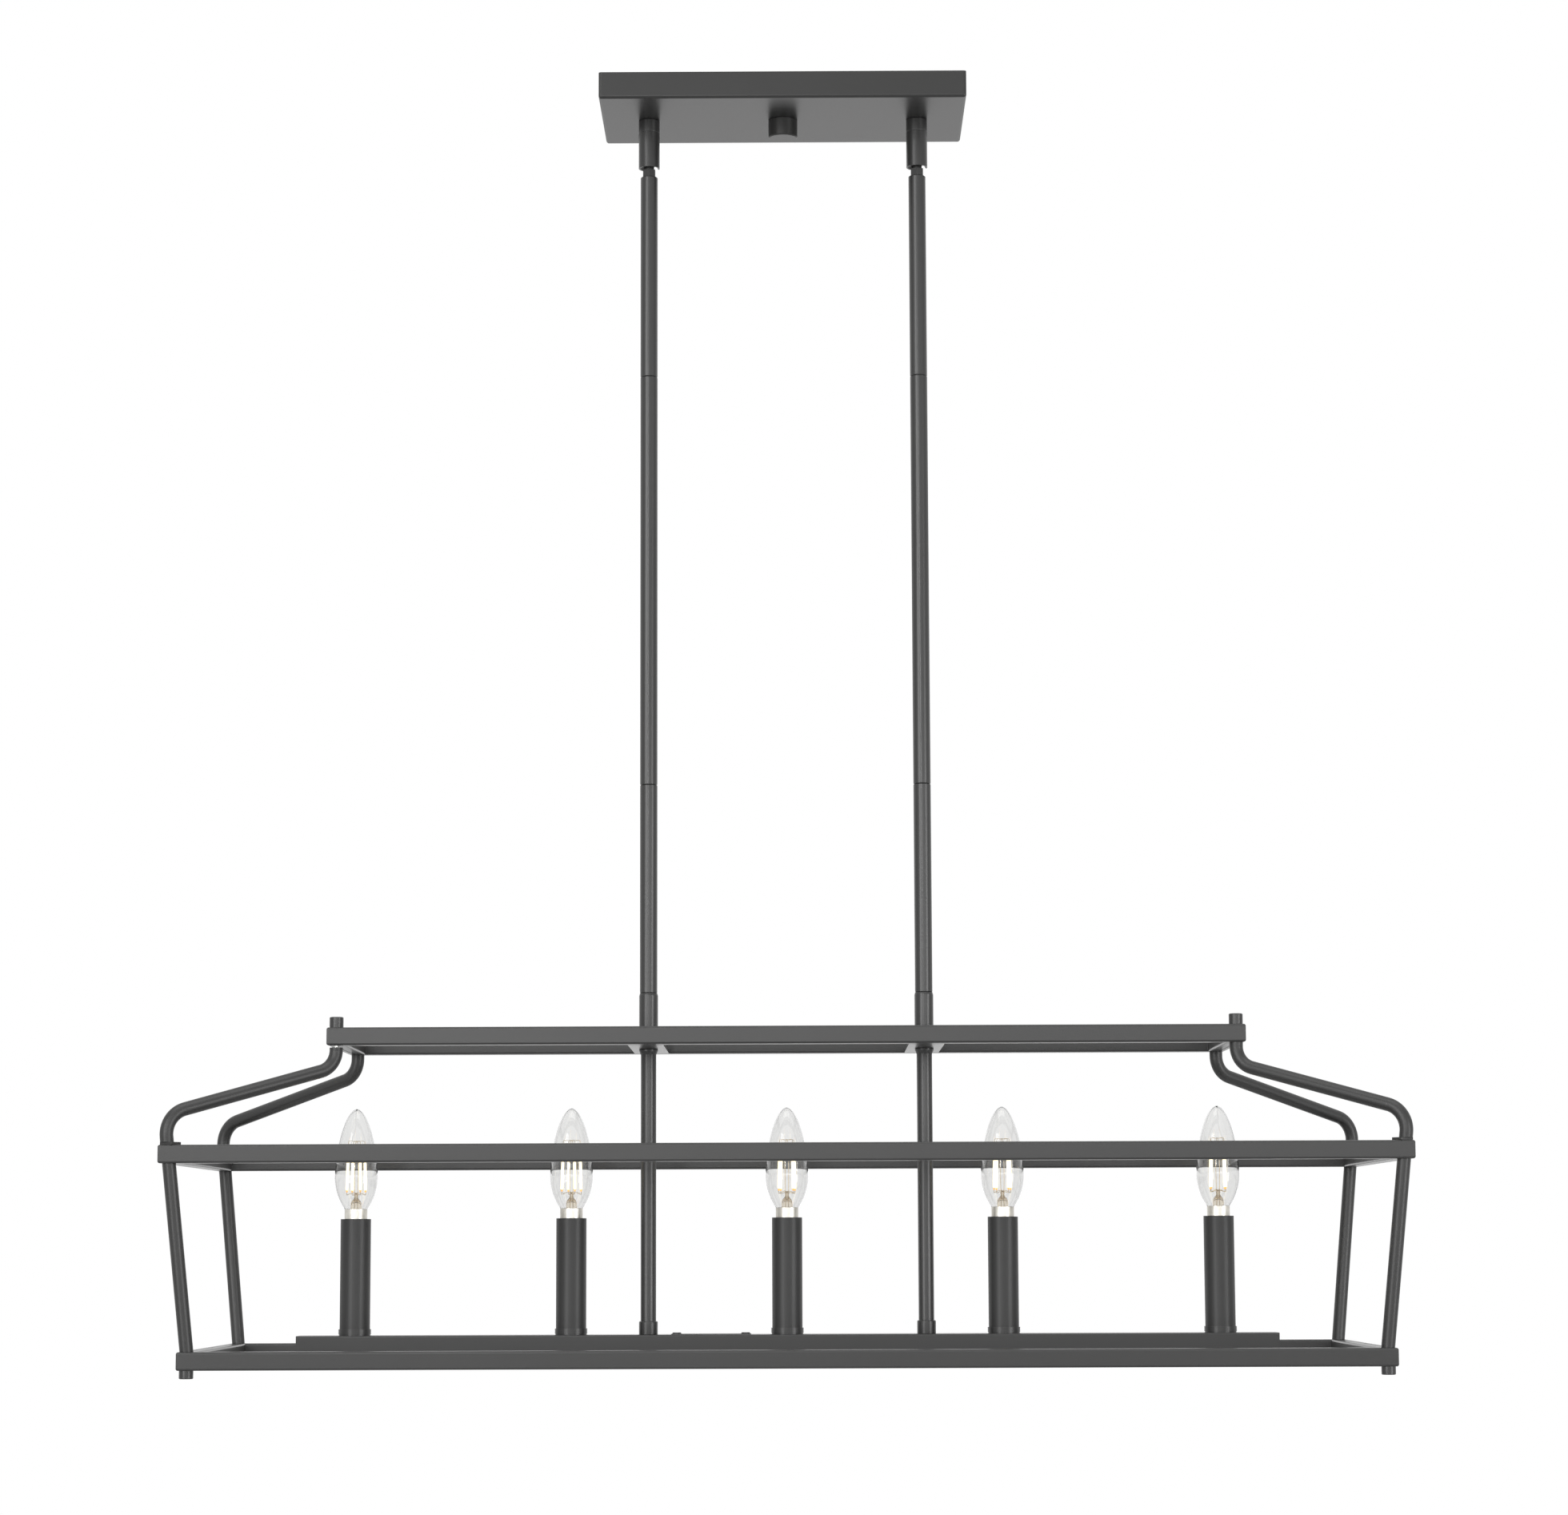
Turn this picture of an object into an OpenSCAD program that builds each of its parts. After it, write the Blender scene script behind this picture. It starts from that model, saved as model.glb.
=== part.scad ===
// Linear island pendant: five candle lights on a channel inside a cage of three square-tube frames.
// The ceiling is the plane z = 0 and the lamp hangs below it, its length along X. Sizes in millimetres.

/* [Canopy] */
// Length of the canopy pan
canopy_l = 270; // [240:1:400]
// Depth of the canopy pan, front to rear
canopy_w = 118; // [90:1:160]
// Height of the canopy pan
canopy_h = 19.7; // [18:0.1:40]
// Thickness of the canopy's sheet
canopy_wall = 1.5; // [1.2:0.1:1.8]
// Radius of the canopy's pressed edges
canopy_edge_r = 2.2; // [2:0.1:3]

/* [Ceiling strap] */
// Length of the mounting strap
strap_l = 114; // [108:1:130]
// Width of the mounting strap
strap_w = 24; // [20:1:40]
// Thickness of the mounting strap
strap_t = 2; // [1.5:0.1:3]
// Height of the strap's folded lips, its plate included
strap_lip_h = 6; // [4:0.5:8]
// Distance between the strap's two box-screw slots
slot_spacing = 88.9; // [80:0.1:90]
// Width of a box-screw slot
slot_w = 4.5; // [4:0.1:6]
// Length of a box-screw slot, end to end
slot_l = 12; // [8:0.5:14]
// Diameter of the stud that holds the canopy up
stud_d = 6; // [5:0.1:8]

/* [Canopy knob] */
// Diameter of the canopy knob
knob_d = 21.6; // [16:0.1:30]
// Height of the canopy knob
knob_h = 13.3; // [11:0.1:20]

/* [Swivels] */
// Distance between the two hanging rods
rod_spacing = 200; // [160:1:220]
// Diameter of the swivel collar and cup
swivel_d = 15.6; // [15:0.1:20]
// Height of the fixed collar under the canopy
collar_h = 9.6; // [6:0.1:15]
// Height of the swivel cup
cup_h = 27; // [24:0.1:40]
// Diameter of the swivel's ball
ball_d = 12; // [11:0.1:12.4]
// Diameter of the shank between the ball and its hexagon
shank_d = 7.4; // [7:0.1:7.6]
// Width across the flats of the hexagon under the cup
hex_flats = 9; // [8:0.1:9.4]
// Height of the hexagon
hex_h = 5.7; // [3:0.1:8]
// Width of the slot in the cup's lip
cup_slot_w = 8.4; // [8:0.1:9]
// Direction of that slot, turned from the lamp's right towards its rear
cup_slot_turn = 55; // [30:1:60]

/* [Hanging rods] */
// Outer diameter of the rods
rod_d = 12.7; // [12:0.1:16]
// Wall of the rods
rod_wall = 1.2; // [0.8:0.1:1.5]
// Length of the upper and lower stems
short_stem_l = 152.4; // [100:0.1:400]
// Length of the middle stem
long_stem_l = 304.8; // [100:0.1:600]
// Length of the threaded joiner inside each seam
joiner_l = 24; // [16:1:30]
// Diameter of the collar over the top frame
rod_collar_d = 13.7; // [13.7:0.1:18]
// Height of that collar above the top frame
rod_collar_rise = 28; // [16:1:60]

/* [Frames] */
// Side of the square tube that the frames are made of
bar = 12.7; // [12:0.1:16]
// Wall of the square tube
bar_wall = 1.2; // [1:0.1:1.5]
// Radius of the square tube's edges
bar_edge_r = 1.5; // [0.5:0.1:2]
// Length of the top frame
top_frame_l = 650; // [500:1:700]
// Depth of the top frame
top_frame_w = 147; // [120:1:180]
// Length of the middle frame
middle_frame_l = 865; // [850:1:1000]
// Depth of the middle frame
middle_frame_w = 275; // [250:1:320]
// Length of the bottom frame
bottom_frame_l = 838; // [800:1:846]
// Drop from the top frame to the middle frame
middle_drop = 84; // [78:0.5:110]
// Drop from the middle frame to the bottom frame
bottom_drop = 141.5; // [130:0.5:200]

/* [Legs] */
// Diameter of the round legs
leg_d = 9.5; // [8:0.1:10]
// Depth of the sloped run's upper corner under the top frame
leg_drop = 15.2; // [15:0.1:18]
// Height of the sloped run's lower corner above the middle frame
shoulder_rise = 20.8; // [19:0.1:30]
// Radius of the bend under the top frame
upper_bend_r = 16; // [12:0.5:16]
// Radius of the bend over the middle frame
lower_bend_r = 18; // [12:0.5:18.5]
// Daylight left over the front left leg, which is not screwed home
loose_gap = 1.4; // [0:0.1:1.7]
// Diameter of the studs through the frame corners
corner_stud_d = 3.6; // [3:0.1:4.5]
// Side of the square washers on the middle frame
washer_side = 10.4; // [9.5:0.1:12]
// Thickness of the square washers
washer_t = 2; // [1:0.1:3]
// Diameter of the cap nuts
cap_d = 9.9; // [8:0.1:12]
// Height of the cap nuts on the top frame
top_cap_h = 7.5; // [5:0.1:10]
// Height of the cap nuts under the bottom frame
bottom_cap_h = 5.7; // [5:0.1:10]

/* [Drop rods] */
// Width of the cross plates in the top frame
plate_w = 25.4; // [18:0.1:40]
// Thickness of the cross plates
plate_t = 3.2; // [2:0.1:6]
// Diameter of the bead under each cross plate
bead_d = 13.6; // [13:0.1:18]
// Height of the bead
bead_h = 3.8; // [2:0.1:5]
// Outer diameter of the drop rods
drop_rod_d = 11.2; // [10:0.1:11.3]
// Wall of the drop rods
drop_rod_wall = 1.6; // [1:0.1:1.8]
// Diameter of the coupling on the channel
coupling_d = 13.5; // [13:0.1:18]
// Height of the coupling
coupling_h = 9.5; // [8:0.1:15]

/* [Light channel] */
// Length of the channel
channel_l = 704; // [680:1:760]
// Width of the channel
channel_w = 25.4; // [24:0.1:40]
// Height of the channel
channel_h = 19; // [17:0.1:20]
// Thickness of the channel's sheet
channel_wall = 1.2; // [0.8:0.1:1.5]
// Rise of the channel's top over the bottom frame's top
channel_rise = 8.1; // [5:0.1:20]
// Length of the small cover plate on the channel
splice_l = 57.5; // [50:0.5:64]
// Width of the small cover plate
splice_w = 16; // [10:0.5:20]
// Thickness of the small cover plate
splice_t = 0.5; // [0.4:0.1:1]
// Place of the small cover plate's middle along the channel
splice_x = -54.8; // [-56:0.1:-52]

/* [Candles] */
// Distance between neighbouring candles
candle_pitch = 155.6; // [150:0.1:165]
// Outer diameter of the candle sleeves
sleeve_d = 21.8; // [21:0.1:24]
// Wall of the candle sleeves
sleeve_wall = 0.8; // [0.5:0.1:1]
// Height of the candle sleeves
sleeve_h = 81.7; // [70:0.1:110]
// Diameter of the ring of the candle cup
cup_ring_d = 23.4; // [23.2:0.1:26]
// Height of the ring of the candle cup
cup_ring_h = 3.5; // [3:0.1:6]
// Diameter of the lamp socket inside the sleeve
socket_d = 17; // [16:0.1:18]
// Height of the lamp socket's body
socket_h = 31; // [26:0.5:40]

/* [Bulbs] */
// Greatest diameter of the bulb's glass
bulb_d = 31; // [28:0.1:36]
// Height of the glass over its metal skirt
bulb_h = 72; // [60:0.5:90]
// Height of the glass's widest place over the skirt
bulb_belly_h = 23.1; // [18:0.1:28]
// Thickness of the glass
glass_t = 0.8; // [0.6:0.1:1]
// Diameter of the bulb's metal skirt
skirt_d = 16.3; // [15.6:0.1:16.8]
// Height of the skirt that stands over the sleeve
skirt_show = 7.1; // [4:0.1:10]
// Outer diameter of the bulb's screw thread
thread_d = 11.9; // [11.5:0.1:12.2]
// Length of the bulb's screw thread
thread_l = 15.2; // [12:0.1:18]
// Length of a glowing filament
filament_l = 34; // [28:0.5:36]
// Diameter of a glowing filament
filament_d = 1.5; // [1:0.1:2]

/* [Hidden] */
$fn = 64;

// Paint and metal colours
black_paint = "#34342f";
dark_paint = "#2a2a28";
plated_steel = "#b9bab8";
nickel = "#d8d2c4";
green_paint = "#2f7d46";
phenolic = "#e6e1d2";
wire_colour = "#f2f0ea";
glow_colour = "#f6c469";

// Clearances and overruns
fit = 0.05;
body_gap = 0.3;
over = 1;

// Steps and chamfers of turned pieces
stem_chamfer = 0.5;
cap_chamfer = 0.5;
knob_chamfer = 0.7;
leg_chamfer = 0.5;

// Bores that the wires run through
wire_d = 2;
wire_offset = 1.6;
wire_play = 0.3;
wire_bore_d = 2 * (wire_offset + wire_play) + wire_d;

// Nuts, nipples and screws
nipple_d = 10.2;
nut_flats = 14;
nut_t = 3;
nipple_proud = 1.5;
stud_nut_flats = 11;
stud_nut_t = 4;
collar_nipple_d = 9.5;
spigot_l = 6;
screw_d = 3.5;
screw_head_d = 6.8;
screw_head_h = 0.9;
screw_l = 6;
ground_d = 4;
ground_head_flats = 8;
ground_head_h = 3;
ground_clear = 16;

// Heights of the canopy and the swivels
canopy_z = -canopy_h;
knob_roof = 3;
stud_end_z = canopy_z - knob_h + knob_roof;
cup_top_z = canopy_z - collar_h;
cup_lip_z = cup_top_z - cup_h;
hex_drop = 1.2;
hex_top_z = cup_lip_z - hex_drop;
rod_top_z = hex_top_z - hex_h;
ball_rise = 6;
ball_z = cup_lip_z + ball_rise;
seat_r = ball_d / 2 + fit;
mouth_r = 4.85;
lip_wall = 1;
lip_r = swivel_d / 2 - lip_wall;
seat_top_drop = seat_r * (sqrt(2) - 1);
mouth_drop = seat_r * sqrt(2) - mouth_r;

// Heights of the rods and frames
seam_1_z = rod_top_z - short_stem_l;
seam_2_z = seam_1_z - long_stem_l;
stem_end_z = seam_2_z - short_stem_l;
top_z = stem_end_z - rod_collar_rise;
top_under_z = top_z - bar;
middle_z = top_z - middle_drop;
middle_under_z = middle_z - bar;
bottom_z = middle_z - bottom_drop;
bottom_under_z = bottom_z - bar;
rod_id = rod_d - 2 * rod_wall;
joiner_d = rod_id - 2 * fit;
collar_taper = 2;
collar_step_z = stem_end_z - joiner_l / 2 - over;
plate_top_z = top_under_z + plate_t;

// Channel, couplings and cover
channel_z = bottom_z + channel_rise;
channel_under_z = channel_z - channel_h;
channel_edge_r = 1;
channel_ceiling_z = channel_z - channel_wall;
end_mid_z = channel_z - (channel_h + channel_edge_r) / 2;
coupling_top_z = channel_z + coupling_h;
coupling_floor_t = 3;
bead_flat_share = 0.4;
bead_lip = 0.2;
drop_rod_id = drop_rod_d - 2 * drop_rod_wall;
cover_play = 0.1;
tab_l = 16;
tab_t = 1.5;
tab_z = channel_under_z + channel_wall;
tab_screw_x = channel_l / 2 - channel_wall - tab_l / 2;
splice_screw_inset = 4;

// Corner places: how far a frame's corner axis lies from the middle
function corner_x(l) = (l - bar) / 2;
function corner_y(w) = (w - bar) / 2;
top_x = corner_x(top_frame_l);
top_y = corner_y(top_frame_w);
middle_step = [corner_x(middle_frame_l) - top_x, corner_y(middle_frame_w) - top_y];
middle_reach = norm(middle_step);
plan_share = middle_step.y / middle_step.x;
plan_turn = atan(plan_share);
bottom_step = [corner_x(bottom_frame_l) - top_x, (corner_x(bottom_frame_l) - top_x) * plan_share];
bottom_reach = norm(bottom_step);
bottom_frame_w = 2 * (top_y + bottom_step.y) + bar;

// The leg's line in its own upright plane: x is the reach from the top corner, y the height
middle_mid_z = middle_z - bar / 2;
lean_share = (middle_reach - bottom_reach) / (middle_mid_z - bottom_z);
lean = atan(lean_share);
function lean_point(z) = [middle_reach + (z - middle_mid_z) * lean_share, z];
knee_1 = [0, top_under_z - leg_drop];
knee_2 = lean_point(middle_z + shoulder_rise);
leg_slope = atan((knee_1.y - knee_2.y) / knee_2.x);
turn_1 = 90 - leg_slope;
turn_2 = 90 - leg_slope + lean;
tangent_1 = upper_bend_r * tan(turn_1 / 2);
tangent_2 = lower_bend_r * tan(turn_2 / 2);
slope_dir = [cos(leg_slope), -sin(leg_slope)];
lean_dir = [-sin(lean), -cos(lean)];
arm_foot_z = middle_z + washer_t;
cap_roof = 1.6;
function cap_grip(h) = h - cap_roof;
stud_grip = 6;
// A bend reaches this many degrees into the straight runs and is a hair thinner than they are
bend_overlap = 1;
bend_thinning = 0.04;
washer_turn = 30;
washer_shift = 2.5;

// Candle places and heights
middle_candle = 3;
function candle_place(i) = (i - middle_candle) * candle_pitch;
cup_floor_t = 1.2;
cup_neck_h = 1;
cup_neck_step = 0.35;
sleeve_id = sleeve_d - 2 * sleeve_wall;
cup_floor_z = channel_z + cup_floor_t;
sleeve_z = cup_floor_z + body_gap;
sleeve_top_z = sleeve_z + sleeve_h;
groove_w = 0.3;
groove_depth = 0.2;
groove_shares = [0.3, 0.62];
foot_t = 3;
bracket_w = 8;
bracket_t = 1.4;
socket_floor_t = 4;

// Bulb heights and its screw base
glass_z = sleeve_top_z + skirt_show;
skirt_sink = 1.2;
skirt_z = sleeve_top_z - skirt_sink;
skirt_wall = 0.6;
neck_sink = 3.8;
neck_d = skirt_d - 2 * skirt_wall - 2 * fit;
socket_top_z = skirt_z - body_gap;
thread_pitch = 2.54;
thread_depth = 0.5;
thread_neck = 1.2;
thread_shares = [[0.25, 0], [0.75, 0], [1, 1]];
contact_d = 4.6;
contact_h = 2;
insulator_h = 1.4;
thread_play = 0.3;
base_floor_z = skirt_z - thread_neck - thread_l - insulator_h - contact_h;
bulb_neck_r = skirt_d / 2;

// Shape of the glass
belly_points = 10;
crown_points = 18;
belly_power = 2.1;
crown_power = 1.75;
crown_root = 0.55;

// Filament mount inside the glass
flare_d = neck_d - 2 * glass_t - 2 * fit;
flare_h = 1.2;
stem_foot_d = 9.4;
stem_top_d = 3;
mount_h = 15;
spine_d = 1.2;
filament_rise = 13.5;
filament_ring_low = 6.8;
filament_ring_high = 6.2;
filament_count = 4;
lead_d = 0.6;

// Flat shapes

module round_rect(l, w, r) {
    square([l - 2 * r, w], center = true);
    square([l, w - 2 * r], center = true);
    for (sx = [-1, 1], sy = [-1, 1])
        translate([sx * (l / 2 - r), sy * (w / 2 - r)])
            circle(r = r);
}

// A block whose upright and lower edges are rounded, its top at z = 0
module pan_block(l, w, h, r) {
    translate([0, 0, r - h])
        linear_extrude(h - r)
            round_rect(l, w, r);
    translate([0, 0, -h / 2])
        cube([l - 2 * r, w - 2 * r, h], center = true);
    for (s = [-1, 1]) {
        translate([0, s * (w / 2 - r), r - h])
            rotate([0, 90, 0])
                cylinder(h = l - 2 * r, r = r, center = true);
        translate([s * (l / 2 - r), 0, r - h])
            rotate([90, 0, 0])
                cylinder(h = w - 2 * r, r = r, center = true);
        for (t = [-1, 1])
            translate([s * (l / 2 - r), t * (w / 2 - r), r - h])
                sphere(r = r);
    }
}

// Small turned and threaded pieces

module hex_prism(flats, h) {
    cylinder(h = h, d = flats / cos(30), $fn = 6);
}

module hex_nut(flats, bore, h) {
    difference() {
        hex_prism(flats, h);
        translate([0, 0, -over])
            cylinder(h = h + 2 * over, d = bore);
    }
}

module tube(od, id, h) {
    difference() {
        cylinder(h = h, d = od);
        translate([0, 0, -over])
            cylinder(h = h + 2 * over, d = id);
    }
}

module chamfered_tube(od, id, h, c) {
    rotate_extrude()
        polygon([
            [id / 2, 0], [od / 2 - c, 0], [od / 2, c],
            [od / 2, h - c], [od / 2 - c, h], [id / 2, h]
        ]);
}

module pan_screw(d, l, head_d, head_h) {
    translate([0, 0, -l])
        cylinder(h = l, d = d);
    rotate_extrude()
        polygon([[0, 0], [head_d / 2, 0], [head_d / 2 - head_h / 2, head_h], [0, head_h]]);
}

module at_rods() {
    for (s = [-1, 1])
        translate([s * rod_spacing / 2, 0, 0])
            children();
}

module at_candles() {
    for (i = [1:2 * middle_candle - 1])
        translate([candle_place(i), 0, 0])
            children();
}

// Canopy and what holds it to the ceiling

module canopy_shell() {
    color(black_paint)
        difference() {
            pan_block(canopy_l, canopy_w, canopy_h, canopy_edge_r);
            translate([0, 0, canopy_z + canopy_wall])
                linear_extrude(canopy_h)
                    round_rect(
                        canopy_l - 2 * canopy_wall, canopy_w - 2 * canopy_wall,
                        canopy_edge_r - canopy_wall
                    );
            translate([0, 0, canopy_z - over])
                cylinder(h = canopy_wall + 2 * over, d = stud_d + 2 * fit);
            at_rods()
                translate([0, 0, canopy_z - over])
                    cylinder(h = canopy_wall + 2 * over, d = collar_nipple_d + 2 * fit);
        }
}

module mounting_strap() {
    color(plated_steel)
        difference() {
            translate([0, 0, -strap_lip_h / 2])
                cube([strap_l, strap_w, strap_lip_h], center = true);
            translate([0, 0, -strap_t - strap_lip_h / 2])
                cube([strap_l + 2 * over, strap_w - 2 * strap_t, strap_lip_h], center = true);
            translate([0, 0, -strap_t - over])
                cylinder(h = strap_t + 2 * over, d = stud_d + 2 * fit);
            translate([ground_clear, 0, -strap_t - over])
                cylinder(h = strap_t + 2 * over, d = ground_d + 2 * fit);
            for (s = [-1, 1])
                translate([s * slot_spacing / 2, 0, -strap_t - over])
                    linear_extrude(strap_t + 2 * over)
                        slot_outline();
        }
}

module slot_outline() {
    square([slot_l - slot_w, slot_w], center = true);
    for (s = [-1, 1])
        translate([s * (slot_l - slot_w) / 2, 0])
            circle(d = slot_w);
}

module canopy_stud() {
    color(plated_steel)
        translate([0, 0, stud_end_z])
            cylinder(h = -stud_end_z, d = stud_d);
}

module canopy_nuts() {
    color(plated_steel) {
        translate([0, 0, -strap_t - stud_nut_t])
            hex_nut(stud_nut_flats, stud_d + 2 * fit, stud_nut_t);
        at_rods()
            translate([0, 0, canopy_z + canopy_wall])
                hex_nut(nut_flats, collar_nipple_d + 2 * fit, nut_t);
    }
}

module ground_screw() {
    color(green_paint)
        translate([ground_clear, 0, 0]) {
            translate([0, 0, -strap_t - ground_head_h])
                hex_prism(ground_head_flats, ground_head_h);
            translate([0, 0, -strap_t - ground_head_h / 2])
                cylinder(h = strap_t + ground_head_h / 2, d = ground_d);
        }
}

module canopy_knob() {
    color(black_paint)
        translate([0, 0, canopy_z - body_gap])
            rotate([180, 0, 0])
                difference() {
                    rotate_extrude()
                        polygon([
                            [0, 0], [knob_d / 2, 0], [knob_d / 2, knob_h - knob_chamfer],
                            [knob_d / 2 - knob_chamfer, knob_h], [0, knob_h]
                        ]);
                    translate([0, 0, -over])
                        cylinder(h = knob_h - knob_roof + over + body_gap, d = stud_d + 2 * fit);
                }
}

// Swivels

module swivel_collars() {
    nipple_top = canopy_z + canopy_wall + nut_t + nipple_proud;
    color(black_paint)
        at_rods()
            difference() {
                union() {
                    translate([0, 0, cup_top_z])
                        cylinder(h = collar_h, d = swivel_d);
                    translate([0, 0, canopy_z - over])
                        cylinder(h = nipple_top - canopy_z + over, d = collar_nipple_d);
                    translate([0, 0, cup_top_z - spigot_l])
                        cylinder(h = spigot_l + over, d = 2 * seat_r - 2 * fit);
                }
                translate([0, 0, cup_top_z - spigot_l - over])
                    cylinder(h = nipple_top - cup_top_z + spigot_l + 2 * over, d = wire_bore_d);
            }
}

// The ball sits in a straight bore over a conical seat
module swivel_cups() {
    color(black_paint)
        at_rods()
            difference() {
                rotate_extrude()
                    polygon([
                        [lip_r, cup_lip_z], [swivel_d / 2, cup_lip_z],
                        [swivel_d / 2, cup_top_z], [seat_r, cup_top_z],
                        [seat_r, ball_z - seat_top_drop], [mouth_r, ball_z - mouth_drop]
                    ]);
                rotate([0, 0, cup_slot_turn]) {
                    translate([0, -cup_slot_w / 2, cup_lip_z - over])
                        cube([swivel_d, cup_slot_w, ball_rise + over]);
                    translate([0, 0, ball_z])
                        rotate([0, 90, 0])
                            cylinder(h = swivel_d, d = cup_slot_w);
                }
            }
}

module swivel_stems() {
    spigot_end_z = rod_top_z - joiner_l / 2;
    color(black_paint)
        at_rods()
            difference() {
                union() {
                    translate([0, 0, ball_z])
                        sphere(d = ball_d);
                    translate([0, 0, spigot_end_z])
                        cylinder(h = ball_z - spigot_end_z, d = shank_d);
                    translate([0, 0, rod_top_z])
                        rotate([0, 0, 30])
                            hex_prism(hex_flats, hex_h);
                    translate([0, 0, spigot_end_z])
                        cylinder(h = rod_top_z - spigot_end_z, d = joiner_d);
                }
                translate([0, 0, spigot_end_z - over])
                    cylinder(h = ball_z - spigot_end_z + ball_d / 2 + 2 * over, d = wire_bore_d);
            }
}

// Hanging rods

module short_stems() {
    color(black_paint)
        at_rods()
            for (z = [seam_1_z, stem_end_z])
                translate([0, 0, z])
                    chamfered_tube(rod_d, rod_id, short_stem_l, stem_chamfer);
}

module long_stems() {
    color(black_paint)
        at_rods()
            translate([0, 0, seam_2_z])
                chamfered_tube(rod_d, rod_id, long_stem_l, stem_chamfer);
}

module stem_joiners() {
    color(plated_steel)
        at_rods()
            for (z = [seam_1_z, seam_2_z, stem_end_z])
                translate([0, 0, z - joiner_l / 2])
                    tube(joiner_d, wire_bore_d, joiner_l);
}

module rod_collars() {
    color(black_paint)
        at_rods()
            difference() {
                rotate_extrude()
                    polygon([
                        [0, plate_top_z], [rod_collar_d / 2, plate_top_z],
                        [rod_collar_d / 2, stem_end_z - collar_taper],
                        [rod_d / 2, stem_end_z], [0, stem_end_z]
                    ]);
                translate([0, 0, plate_top_z - over])
                    cylinder(h = stem_end_z - plate_top_z + 2 * over, d = rod_id);
                translate([0, 0, plate_top_z - over])
                    cylinder(h = collar_step_z - plate_top_z + over, d = drop_rod_d + 2 * fit);
            }
}

// Square-tube frames

module frame_bar(l) {
    intersection() {
        rotate([90, 0, 90])
            linear_extrude(l, center = true)
                round_rect(bar, bar, bar_edge_r);
        linear_extrude(bar + 2 * over, center = true)
            polygon([
                [-l / 2, -bar / 2], [l / 2, -bar / 2],
                [l / 2 - bar, bar / 2], [bar - l / 2, bar / 2]
            ]);
    }
}

// A mitred frame of hollow square tube, its underside at z = 0
module tube_frame(l, w) {
    translate([0, 0, bar / 2])
        difference() {
            union() {
                for (s = [0, 180])
                    rotate([0, 0, s])
                        translate([0, (bar - w) / 2, 0])
                            frame_bar(l);
                for (s = [90, 270])
                    rotate([0, 0, s])
                        translate([0, (bar - l) / 2, 0])
                            frame_bar(w);
            }
            linear_extrude(bar - 2 * bar_wall, center = true)
                difference() {
                    square([l - 2 * bar_wall, w - 2 * bar_wall], center = true);
                    square([l - 2 * bar + 2 * bar_wall, w - 2 * bar + 2 * bar_wall], center = true);
                }
        }
}

// Upright stud holes through the corners of a frame
module corner_holes(l, w) {
    for (sx = [-1, 1], sy = [-1, 1])
        translate([sx * corner_x(l), sy * corner_y(w), -over])
            cylinder(h = bar + 2 * over, d = corner_stud_d + 2 * fit);
}

module top_frame() {
    color(black_paint)
        translate([0, 0, top_under_z])
            difference() {
                tube_frame(top_frame_l, top_frame_w);
                corner_holes(top_frame_l, top_frame_w);
            }
}

module middle_frame() {
    color(black_paint)
        difference() {
            translate([0, 0, middle_under_z])
                tube_frame(middle_frame_l, middle_frame_w);
            for (sx = [-1, 1], sy = [-1, 1])
                at_corner(sx, sy)
                    leaning_stud(corner_stud_d + 2 * fit, fit);
        }
}

module bottom_frame() {
    color(black_paint)
        translate([0, 0, bottom_under_z])
            difference() {
                tube_frame(bottom_frame_l, bottom_frame_w);
                corner_holes(bottom_frame_l, bottom_frame_w);
            }
}

// Legs: a bent arm over the middle frame and a post under it

// Puts a leg drawn in its own plane under one corner of the top frame
module at_corner(sx, sy) {
    translate([sx * top_x, sy * top_y, 0])
        rotate([0, 0, atan2(sy * middle_step.y, sx * middle_step.x)])
            rotate([90, 0, 0])
                children();
}

// The stud that runs along the leg's own line through the middle frame's corner
module leaning_stud(d, play) {
    reach = bar / 2 + stud_grip + play;
    translate([middle_reach, middle_mid_z, 0])
        rotate([0, 0, -lean])
            translate([0, -reach, 0])
                rotate([-90, 0, 0])
                    cylinder(h = 2 * reach + washer_t, d = d);
}

module leg_run(from, to) {
    d = to - from;
    translate([from.x, from.y, 0])
        rotate([0, 0, atan2(d.y, d.x)])
            rotate([0, 90, 0])
                cylinder(h = norm(d), d = leg_d);
}

module leg_bend(centre, r, start, turn) {
    translate([centre.x, centre.y, 0])
        rotate([0, 0, start - bend_overlap])
            rotate_extrude(angle = turn + 2 * bend_overlap)
                translate([r, 0])
                    circle(d = leg_d - bend_thinning);
}

module arm(sx, sy, gap) {
    bend_1_start = knee_1 + [0, tangent_1];
    bend_1_end = knee_1 + tangent_1 * slope_dir;
    bend_2_start = knee_2 - tangent_2 * slope_dir;
    bend_2_end = knee_2 + tangent_2 * lean_dir;
    bend_2_centre = bend_2_end + lower_bend_r * [lean_dir.y, -lean_dir.x];
    head_z = top_under_z - gap;
    foot = lean_point(arm_foot_z - leg_d);
    color(black_paint)
        at_corner(sx, sy)
            difference() {
                union() {
                    leg_run([0, head_z], bend_1_start);
                    leg_bend(bend_1_start + [upper_bend_r, 0], upper_bend_r, 180, turn_1);
                    leg_run(bend_1_end, bend_2_start);
                    leg_bend(bend_2_centre, lower_bend_r, -lean, turn_2);
                    leg_run(bend_2_end, foot);
                }
                translate([middle_reach, arm_foot_z - leg_d, 0])
                    cube([4 * leg_d, 2 * leg_d, 4 * leg_d], center = true);
                translate([0, head_z + over, 0])
                    rotate([90, 0, 0])
                        cylinder(h = stud_grip + over + fit, d = corner_stud_d + 2 * fit);
                leaning_stud(corner_stud_d + 2 * fit, fit);
            }
}

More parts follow.
